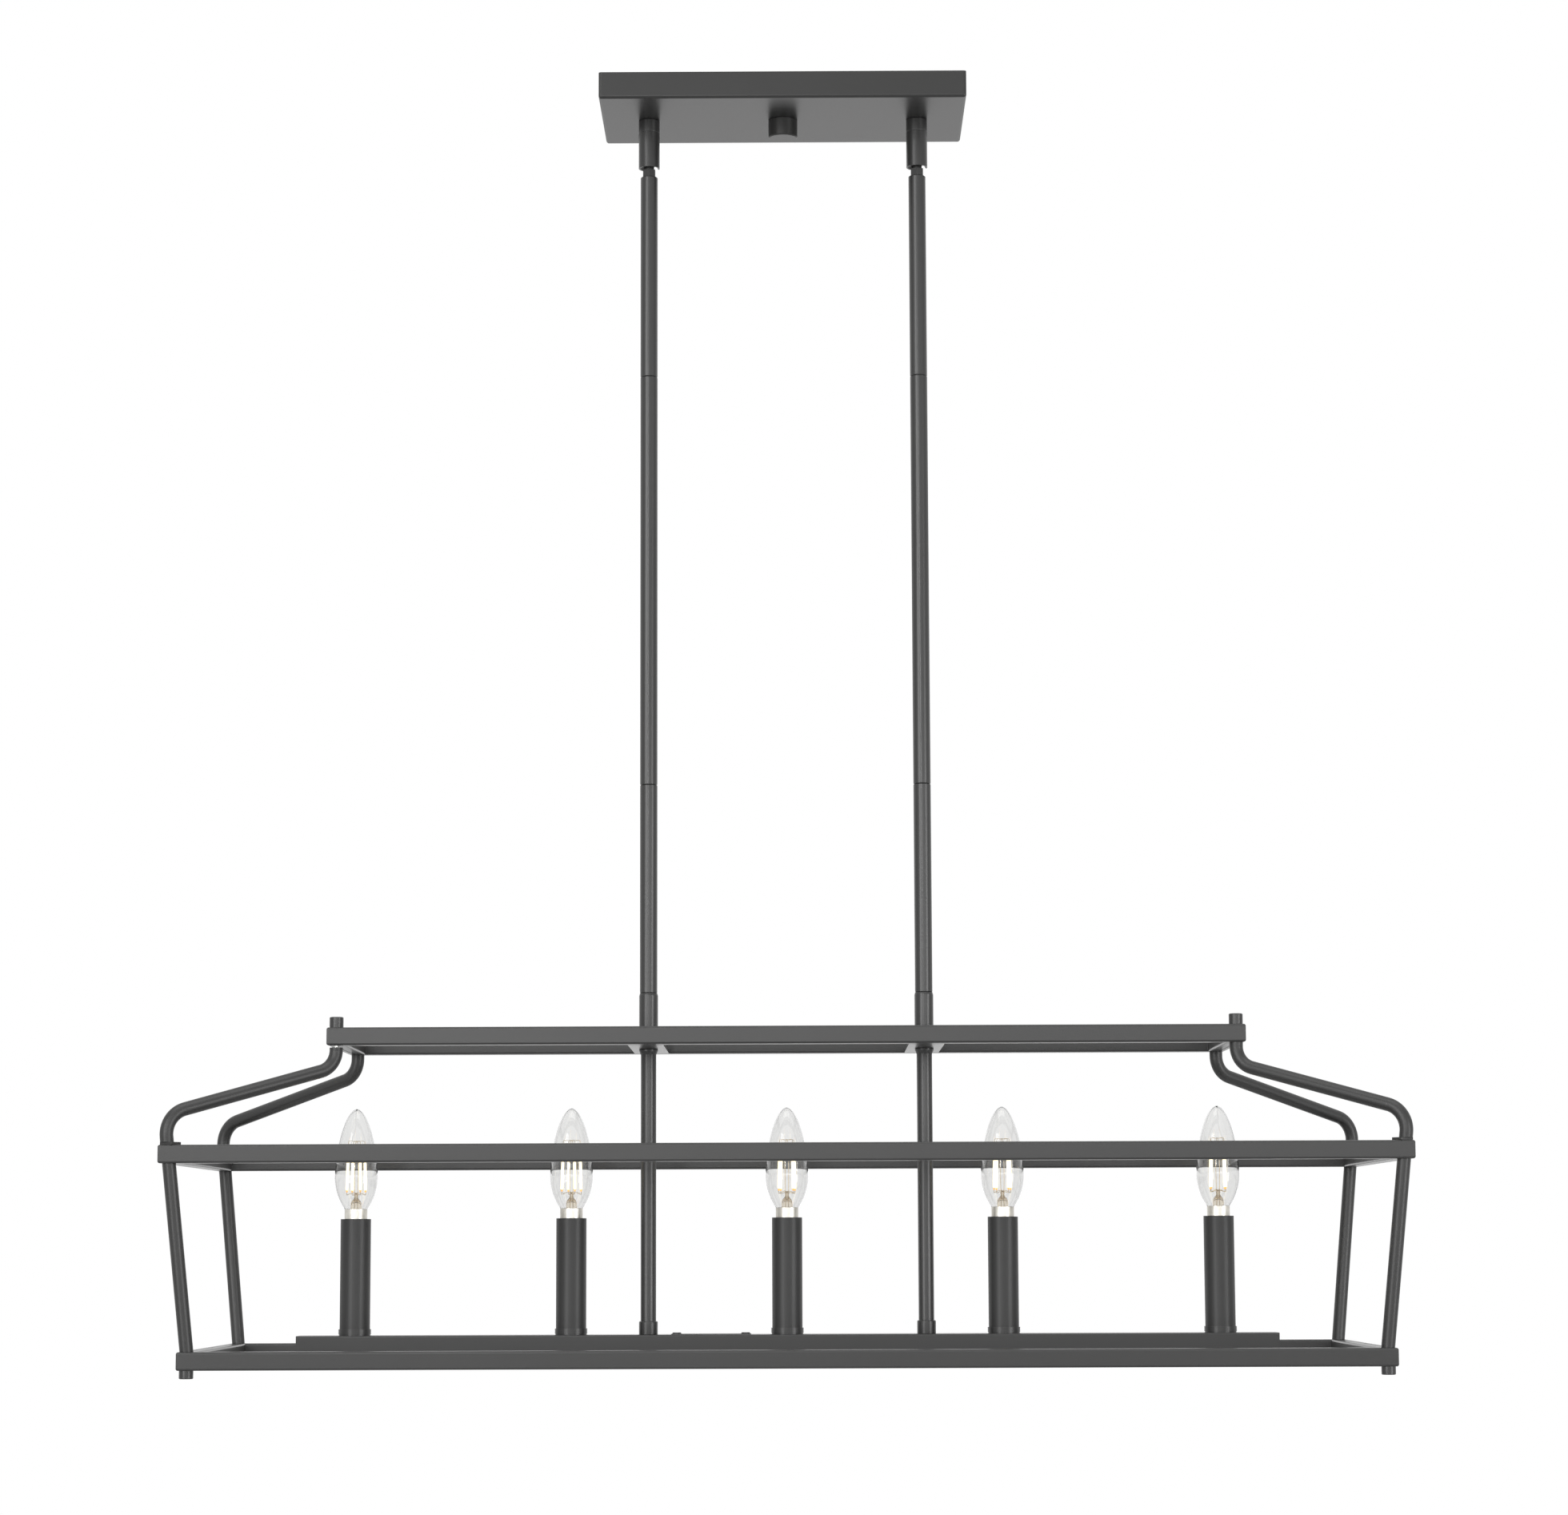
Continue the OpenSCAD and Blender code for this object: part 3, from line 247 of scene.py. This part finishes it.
FINISH = {
    "canopy_shell": ("canopy", 0.0), "mounting_strap": ("steel", 0.3), "canopy_stud": ("steel", 0.3),
    "canopy_nuts": ("steel", 0.4), "ground_screw": ("green", 0.3), "swivel_collars": ("swivel", 0.5),
    "swivel_cups": ("swivel", 0.45), "canopy_knob": ("canopy", 0.0), "swivel_stems": ("swivel", 0.25),
    "short_stems": ("rod_a", 0.0), "long_stems": ("rod_b", 0.0), "stem_joiners": ("steel", 0.2),
    "rod_collars": ("rod_b", 0.2), "top_frame": ("frame_top", 0.35), "cross_plates": ("small", 0.3),
    "bead_rings": ("small", 0.2), "drop_rods": ("rod_a", 0.2), "rod_couplings": ("small", 0.2),
    "middle_frame": ("frame_middle", 0.35), "bottom_frame": ("frame_bottom", 0.35),
    "arm_front_left": ("leg", 0.25), "arm_front_right": ("leg", 0.25),
    "arm_rear_left": ("leg", 0.25), "arm_rear_right": ("leg", 0.25),
    "post_front_left": ("post", 0.25), "post_front_right": ("post", 0.25),
    "post_rear_left": ("post", 0.25), "post_rear_right": ("post", 0.25),
    "corner_washers": ("small", 0.25), "cap_nuts": ("small", 0.0), "frame_studs": ("steel", 0.2),
    "light_channel": ("channel", 0.25), "channel_cover": ("channel", 0.2), "splice_cover": ("small", 0.1),
    "channel_screws": ("small", 0.15), "channel_locknuts": ("steel", 0.2), "channel_wiring": ("wire", 0.0),
    "candle_cups": ("small", 0.0), "socket_nipples": ("steel", 0.2), "candle_sockets": ("socket", 0.3),
}
for i in range(1, 6):
    FINISH[f"sleeve_{i}"] = ("sleeve", 0.15)
    FINISH[f"bulb_base_{i}"] = ("nickel", 0.0)


# Seams closer than this (metres) are welded; edges sharper than these angles are bevelled or split
WELD_GAP = 2e-6
BEVEL_ANGLE = math.radians(40)
SPLIT_ANGLE = math.radians(32)


def dress(obj, mat, bevel):
    """One finish, seams welded, edges softened by bevel (mm), flat faces shaded flat and corners split."""
    obj.data.materials.clear()
    obj.data.materials.append(mat)
    for poly in obj.data.polygons:
        poly.use_smooth = True
    weld = obj.modifiers.new("weld", "WELD")
    weld.merge_threshold = WELD_GAP
    if bevel:
        b = obj.modifiers.new("bevel", "BEVEL")
        b.width = bevel * MM
        b.segments = 2
        b.limit_method = "ANGLE"
        b.angle_limit = BEVEL_ANGLE
        b.use_clamp_overlap = True
    else:
        s = obj.modifiers.new("split", "EDGE_SPLIT")
        s.split_angle = SPLIT_ANGLE
    flat = obj.modifiers.new("normals", "WEIGHTED_NORMAL")
    flat.mode = "FACE_AREA"
    flat.keep_sharp = True


for name, (mat, bevel) in FINISH.items():
    dress(nodes[name], MATS[mat], bevel)


# Mesh helpers for the bulbs

def new_object(name, bm, mat, smooth=True):
    bmesh.ops.recalc_face_normals(bm, faces=bm.faces)
    mesh = bpy.data.meshes.new(name)
    bm.to_mesh(mesh)
    bm.free()
    mesh.materials.append(mat)
    for poly in mesh.polygons:
        poly.use_smooth = smooth
    obj = bpy.data.objects.new(name, mesh)
    scene.collection.objects.link(obj)
    return obj


def lathe(bm, profile, centre, steps=96):
    """Revolves (r, z) points about the upright line through centre; a point with r = 0 closes it."""
    rings = []
    for r, z in profile:
        if r < 1e-7:
            rings.append([bm.verts.new((centre.x, centre.y, centre.z + z))])
            continue
        rings.append([
            bm.verts.new((
                centre.x + r * math.cos(2 * math.pi * k / steps),
                centre.y + r * math.sin(2 * math.pi * k / steps),
                centre.z + z,
            ))
            for k in range(steps)
        ])
    for a, b in zip(rings, rings[1:]):
        for k in range(steps):
            n = (k + 1) % steps
            if len(a) == 1 and len(b) == 1:
                continue
            if len(a) == 1:
                bm.faces.new((a[0], b[k], b[n]))
            elif len(b) == 1:
                bm.faces.new((a[k], a[n], b[0]))
            else:
                bm.faces.new((a[k], a[n], b[n], b[k]))
    return rings


def close_up(bm, rings):
    """Joins the last ring to the first, as the rim of a hollow shell."""
    first, last = rings[0], rings[-1]
    for k in range(len(first)):
        n = (k + 1) % len(first)
        bm.faces.new((first[k], last[k], last[n], first[n]))


def tube(bm, points, radii, sides):
    """A capped tube through points, with one radius or one for each point."""
    points = [Vector(p) for p in points]
    if not hasattr(radii, "__len__"):
        radii = [radii] * len(points)
    tangents = []
    for k in range(len(points)):
        a = points[max(k - 1, 0)]
        b = points[min(k + 1, len(points) - 1)]
        tangents.append((b - a).normalized())
    ref = Vector((1, 0, 0)) if abs(tangents[0].x) < 0.9 else Vector((0, 1, 0))
    side = tangents[0].cross(ref).normalized()
    rings = []
    for p, t, r in zip(points, tangents, radii):
        side = (side - side.dot(t) * t).normalized()
        up = t.cross(side)
        rings.append([
            bm.verts.new(p + r * (math.cos(a) * side + math.sin(a) * up))
            for a in (2 * math.pi * k / sides for k in range(sides))
        ])
    for a, b in zip(rings, rings[1:]):
        for k in range(sides):
            n = (k + 1) % sides
            bm.faces.new((a[k], a[n], b[n], b[k]))
    bm.faces.new(rings[0][::-1])
    bm.faces.new(rings[-1])


PATH_STEPS = 8


def smooth_path(points):
    """Catmull-Rom points through the given ones."""
    pts = [Vector(p) for p in points]
    out = []
    for k in range(len(pts) - 1):
        p0 = pts[max(k - 1, 0)]
        p1, p2 = pts[k], pts[k + 1]
        p3 = pts[min(k + 2, len(pts) - 1)]
        for j in range(PATH_STEPS):
            t = j / PATH_STEPS
            out.append(0.5 * (
                2 * p1 + (p2 - p0) * t + (2 * p0 - 5 * p1 + 4 * p2 - p3) * t * t
                + (3 * p1 - p0 - 3 * p2 + p3) * t ** 3
            ))
    out.append(pts[-1])
    return out


# Bulbs: blown glass, pinched mount, spider of leads, four lit filaments

# All in mm, with heights above the metal cap's rim
BELLY_H, GLASS_H = 23.1, 72.0
BELLY_R, NECK_R, STEM_R = 15.5, 8.15, 7.5
# How far the glass goes into the cap, and its thickness
SINK = 3.8
WALL = 0.8
# Steps of the outline under and over the belly, and the bends of both curves
UNDER_STEPS, OVER_STEPS = 24, 40
UNDER_BEND, OVER_BEND, TIP_BEND = 2.1, 1.75, 0.55
# The hollow mount, as outlines outside and inside: flare, arch, pinched neck and bead
MOUNT_OUTSIDE = [
    (6.6, -SINK + 0.1), (6.6, -SINK + 0.5), (5.4, -SINK + 0.9), (4.3, -2.2), (3.95, 0.0), (3.95, 2.6),
    (3.75, 4.6), (3.1, 6.0), (2.2, 7.0), (1.55, 7.8), (1.4, 9.0), (1.65, 10.3), (1.9, 11.1), (1.3, 11.7),
    (0, 11.9),
]
MOUNT_INSIDE = [
    (0, 6.0), (1.5, 5.7), (2.6, 4.9), (3.2, 3.6), (3.35, 2.0), (3.35, 0.0), (3.6, -2.0),
    (4.9, -SINK + 0.5), (5.9, -SINK + 0.1),
]
# Each filament leans from its foot to its head, and narrows at its ends
FOOT_R, FOOT_H = 7.3, 13.4
HEAD_R, HEAD_H = 6.4, 45.0
FILAMENT_R = 1.0
FILAMENT_STEPS = ((0, 0.5), (0.012, 0.85), (0.03, 1.0), (0.5, 1.0), (0.97, 1.0), (0.988, 0.85), (1, 0.5))
# How the filaments of each bulb are turned, in degrees
FILAMENT_TURNS = (30, 22, 38, 33, 42)
# Wires: from the mount to the feet, over the heads, up the middle and inside the mount
FOOT_LEAD_R, HEAD_LEAD_R, MIDDLE_WIRE_R, LEAD_IN_R = 0.24, 0.2, 0.22, 0.25
# The feet's leads leave the mount by turns this much higher and lower
LEAD_STAGGER = 0.35
MOUNT_SIDES, FILAMENT_SIDES, TIP_SIDES, WIRE_SIDES = 48, 16, 12, 8


def glass_profile(inset):
    """The glass outline from neck to tip, drawn in by inset."""
    pts = []
    for k in range(UNDER_STEPS):
        v = 1 - k / UNDER_STEPS
        pts.append((NECK_R + (BELLY_R - NECK_R) * (1 - v ** UNDER_BEND) - inset, BELLY_H * (1 - v)))
    for k in range(OVER_STEPS + 1):
        u = math.sin(math.pi / 2 * k / OVER_STEPS)
        r = (BELLY_R - inset) * (1 - u ** OVER_BEND) ** TIP_BEND if u < 1 else 0.0
        pts.append((r, BELLY_H + (GLASS_H - inset - BELLY_H) * u))
    return pts


def turned_shell(name, profile, centre, mat, steps=96):
    """A closed shell turned about the upright line through centre, from (r, z) in mm."""
    bm = bmesh.new()
    close_up(bm, lathe(bm, [(r * MM, z * MM) for r, z in profile], centre, steps))
    return new_object(name, bm, mat)


def filament(k, turn, centre, lit, ends, wires):
    """One filament with its tips and leads; turn is the first one's direction in the plan."""
    a = turn + k * math.pi / 2
    out = Vector((math.cos(a), math.sin(a), 0))

    def at(r, z):
        return centre + (out * r + Vector((0, 0, z))) * MM

    foot, head = at(FOOT_R, FOOT_H), at(HEAD_R, HEAD_H)
    tube(
        lit, [foot + (head - foot) * f for f, _ in FILAMENT_STEPS],
        [r * FILAMENT_R * MM for _, r in FILAMENT_STEPS], FILAMENT_SIDES,
    )
    tube(ends, [at(7.33, 12.1), at(7.32, 12.6), at(7.3, 13.6)], [0.35 * MM, 0.65 * MM, 0.7 * MM], TIP_SIDES)
    tube(ends, [at(6.4, 44.8), at(6.38, 45.7), at(6.35, 46.1)], [0.65 * MM, 0.62 * MM, 0.3 * MM], TIP_SIDES)
    rise = LEAD_STAGGER * (-1) ** k
    tube(wires, smooth_path([
        at(0.2, 11.3 + rise), at(2.0, 11.6 + rise), at(4.6, 10.9 + rise), at(7.0, 10.3), at(7.45, 10.8),
        at(7.35, 12.3),
    ]), FOOT_LEAD_R * MM, WIRE_SIDES)
    tube(wires, smooth_path([
        at(6.35, 46.0), at(6.3, 48.4), at(4.2, 48.9), at(1.8, 48.5), at(0.3, 48.9),
    ]), HEAD_LEAD_R * MM, WIRE_SIDES)


def middle_wires(centre, wires):
    """Two slender wires that carry the upper leads, then the two lead-in wires inside the mount."""
    for s in (-1, 1):
        tube(wires, smooth_path([
            centre + Vector((s * 0.5, 0, 11.4)) * MM, centre + Vector((s * 1.15, 0, 14.0)) * MM,
            centre + Vector((s * 1.3, 0, 30.0)) * MM, centre + Vector((s * 0.9, 0, 45.0)) * MM,
            centre + Vector((s * 0.2, 0, 48.9)) * MM,
        ]), MIDDLE_WIRE_R * MM, WIRE_SIDES)
    for s in (-1, 1):
        tube(wires, smooth_path([
            centre + Vector((s * 1.4, 0.3, -3.4)) * MM, centre + Vector((s * 1.1, 0.2, 2.0)) * MM,
            centre + Vector((s * 0.8, 0, 7.6)) * MM, centre + Vector((s * 0.6, 0, 11.6)) * MM,
        ]), LEAD_IN_R * MM, WIRE_SIDES)


def bulb(i):
    """Glass, mount, filaments, tips and leads of one bulb, at its CAD glass."""
    low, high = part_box(f"bulb_glass_{i}")
    centre = Vector(((low.x + high.x) / 2, (low.y + high.y) / 2, high.z - GLASS_H * MM))
    body = f"bulb_{i}"

    outer = [(STEM_R, -SINK), (STEM_R, -0.4), (STEM_R + 0.1, -0.05)] + glass_profile(0)
    inner = [(STEM_R - WALL, -SINK), (STEM_R - WALL, -0.4)] + glass_profile(WALL)
    glass = turned_shell(f"bulb_{i}_glass", outer + inner[::-1], centre, MATS["glass"])
    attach(glass, body)
    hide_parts(f"bulb_glass_{i}")

    post = turned_shell(
        f"bulb_{i}_mount", MOUNT_OUTSIDE + MOUNT_INSIDE, centre, MATS["mount_glass"], MOUNT_SIDES,
    )
    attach(post, body)
    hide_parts(f"bulb_filament_{i}")

    lit = bmesh.new()
    ends = bmesh.new()
    wires = bmesh.new()
    turn = math.radians(FILAMENT_TURNS[i - 1])
    for k in range(4):
        filament(k, turn, centre, lit, ends, wires)
    middle_wires(centre, wires)
    glow = new_object(f"bulb_{i}_filaments", lit, MATS["filament"])
    tips = new_object(f"bulb_{i}_filament_tips", ends, MATS["filament_end"])
    leads = new_object(f"bulb_{i}_leads", wires, MATS["lead"])
    for piece, slot in ((glow, "filament"), (tips, "filament"), (leads, "bulb_cap")):
        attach(piece, body)
    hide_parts(f"bulb_filament_{i}")
    for piece in (glow, tips, leads, post):
        piece.visible_shadow = False


for i in range(1, 6):
    bulb(i)


# Studio

def area_light(name, place, aim, width, height, radiance):
    """A soft box of the given radiance, turned to face aim."""
    data = bpy.data.lights.new(name, "AREA")
    data.shape = "RECTANGLE"
    data.size = width
    data.size_y = height
    data.energy = radiance * math.pi * data.size * data.size_y
    obj = bpy.data.objects.new(name, data)
    scene.collection.objects.link(obj)
    obj.location = place
    obj.rotation_euler = (Vector(aim) - Vector(place)).to_track_quat("-Z", "Y").to_euler()
    obj.visible_camera = False
    obj.visible_transmission = False


def around(azimuth, distance, z):
    """A place at an azimuth seen from the lamp: 0 is straight in front, positive to the right."""
    a = math.radians(azimuth)
    return (distance * math.sin(a), -distance * math.cos(a), z)


def middle(z):
    """The point of the lamp's upright middle line at height z."""
    return (0, 0, z)


# Each line: name, place, aim, width, height, radiance
area_light("box_left", around(-34, 3.3, -0.2), middle(-0.6), 1.3, 2.6, 4.6)
area_light("box_right", around(50, 3.3, -0.75), middle(-0.6), 1.3, 1.5, 5.6)
area_light("card_front", around(6, 3.6, -0.42), middle(-0.7), 3.0, 0.66, 2.9)
area_light("card_high", around(0, 3.6, 1.7), middle(-0.1), 5.4, 2.9, 0.36)
area_light("strip_front", around(-10, 3.4, 0.15), middle(-0.4), 0.17, 0.9, 23.0)
area_light("panel_back_high", around(180, 3.2, -0.75), middle(-0.75), 2.2, 0.8, 0.42)
area_light("top_soft", around(0, 0.9, 2.3), middle(-0.9), 3.2, 1.8, 2.2)
area_light("panel_back_low", around(180, 3.0, -1.8), middle(-0.75), 2.2, 1.1, 0.24)


def background_seen(tree):
    """1 for the rays that show the background: to the camera, in gloss and through glass; 0 for light."""
    path = tree.nodes.new("ShaderNodeLightPath")
    seen = path.outputs["Is Camera Ray"]
    for ray in ("Is Glossy Ray", "Is Transmission Ray"):
        either = tree.nodes.new("ShaderNodeMath")
        either.operation = "MAXIMUM"
        tree.links.new(seen, either.inputs[0])
        tree.links.new(path.outputs[ray], either.inputs[1])
        seen = either.outputs[0]
    return seen


# How much of the floor's look is plain white; the rest keeps the lamp's shadow
FLOOR_WHITE = 0.92
FLOOR_Z, FLOOR_HALF = -2.4, 9.0
# How bright the world is where it lights the lamp, beside 1 where it is seen
WORLD_LIGHT = 0.03

floor_tree = Tree("pale_floor")
v = floor_tree.coords()
p = floor_tree.principled({"Roughness": 0.7})
floor_tree.link(
    floor_tree.mix(floor_tree.ramp(floor_tree.noise(v, 3.0), 0, 1), (0.86, 0.86, 0.85), (0.9, 0.9, 0.89)),
    p.inputs["Base Color"],
)
share = floor_tree.node("ShaderNodeMath", operation="MULTIPLY")
share.inputs[1].default_value = FLOOR_WHITE
floor_tree.link(background_seen(floor_tree.nt), share.inputs[0])
plain_white = floor_tree.node("ShaderNodeEmission", {"Color": (1, 1, 1, 1), "Strength": 1.0})
blend = floor_tree.node("ShaderNodeMixShader")
floor_tree.link(share.outputs[0], blend.inputs[0])
floor_tree.link(p.outputs["BSDF"], blend.inputs[1])
floor_tree.link(plain_white.outputs[0], blend.inputs[2])
floor_tree.link(blend.outputs[0], floor_tree.out.inputs["Surface"])
bm = bmesh.new()
bmesh.ops.create_grid(bm, x_segments=2, y_segments=2, size=FLOOR_HALF)
floor = new_object("floor", bm, floor_tree.mat, False)
floor.location = (0, 0, FLOOR_Z)

world = bpy.data.worlds.new("studio")
scene.world = world
world.use_nodes = True
wt = world.node_tree
wt.nodes.clear()
white = wt.nodes.new("ShaderNodeBackground")
white.inputs["Color"].default_value = (1, 1, 1, 1)
white.inputs["Strength"].default_value = 1.0
dim = wt.nodes.new("ShaderNodeBackground")
dim.inputs["Color"].default_value = (1, 1, 1, 1)
dim.inputs["Strength"].default_value = WORLD_LIGHT
pick = wt.nodes.new("ShaderNodeMixShader")
wt.links.new(background_seen(wt), pick.inputs[0])
wt.links.new(dim.outputs[0], pick.inputs[1])
wt.links.new(white.outputs[0], pick.inputs[2])
sky = wt.nodes.new("ShaderNodeOutputWorld")
wt.links.new(pick.outputs[0], sky.inputs["Surface"])
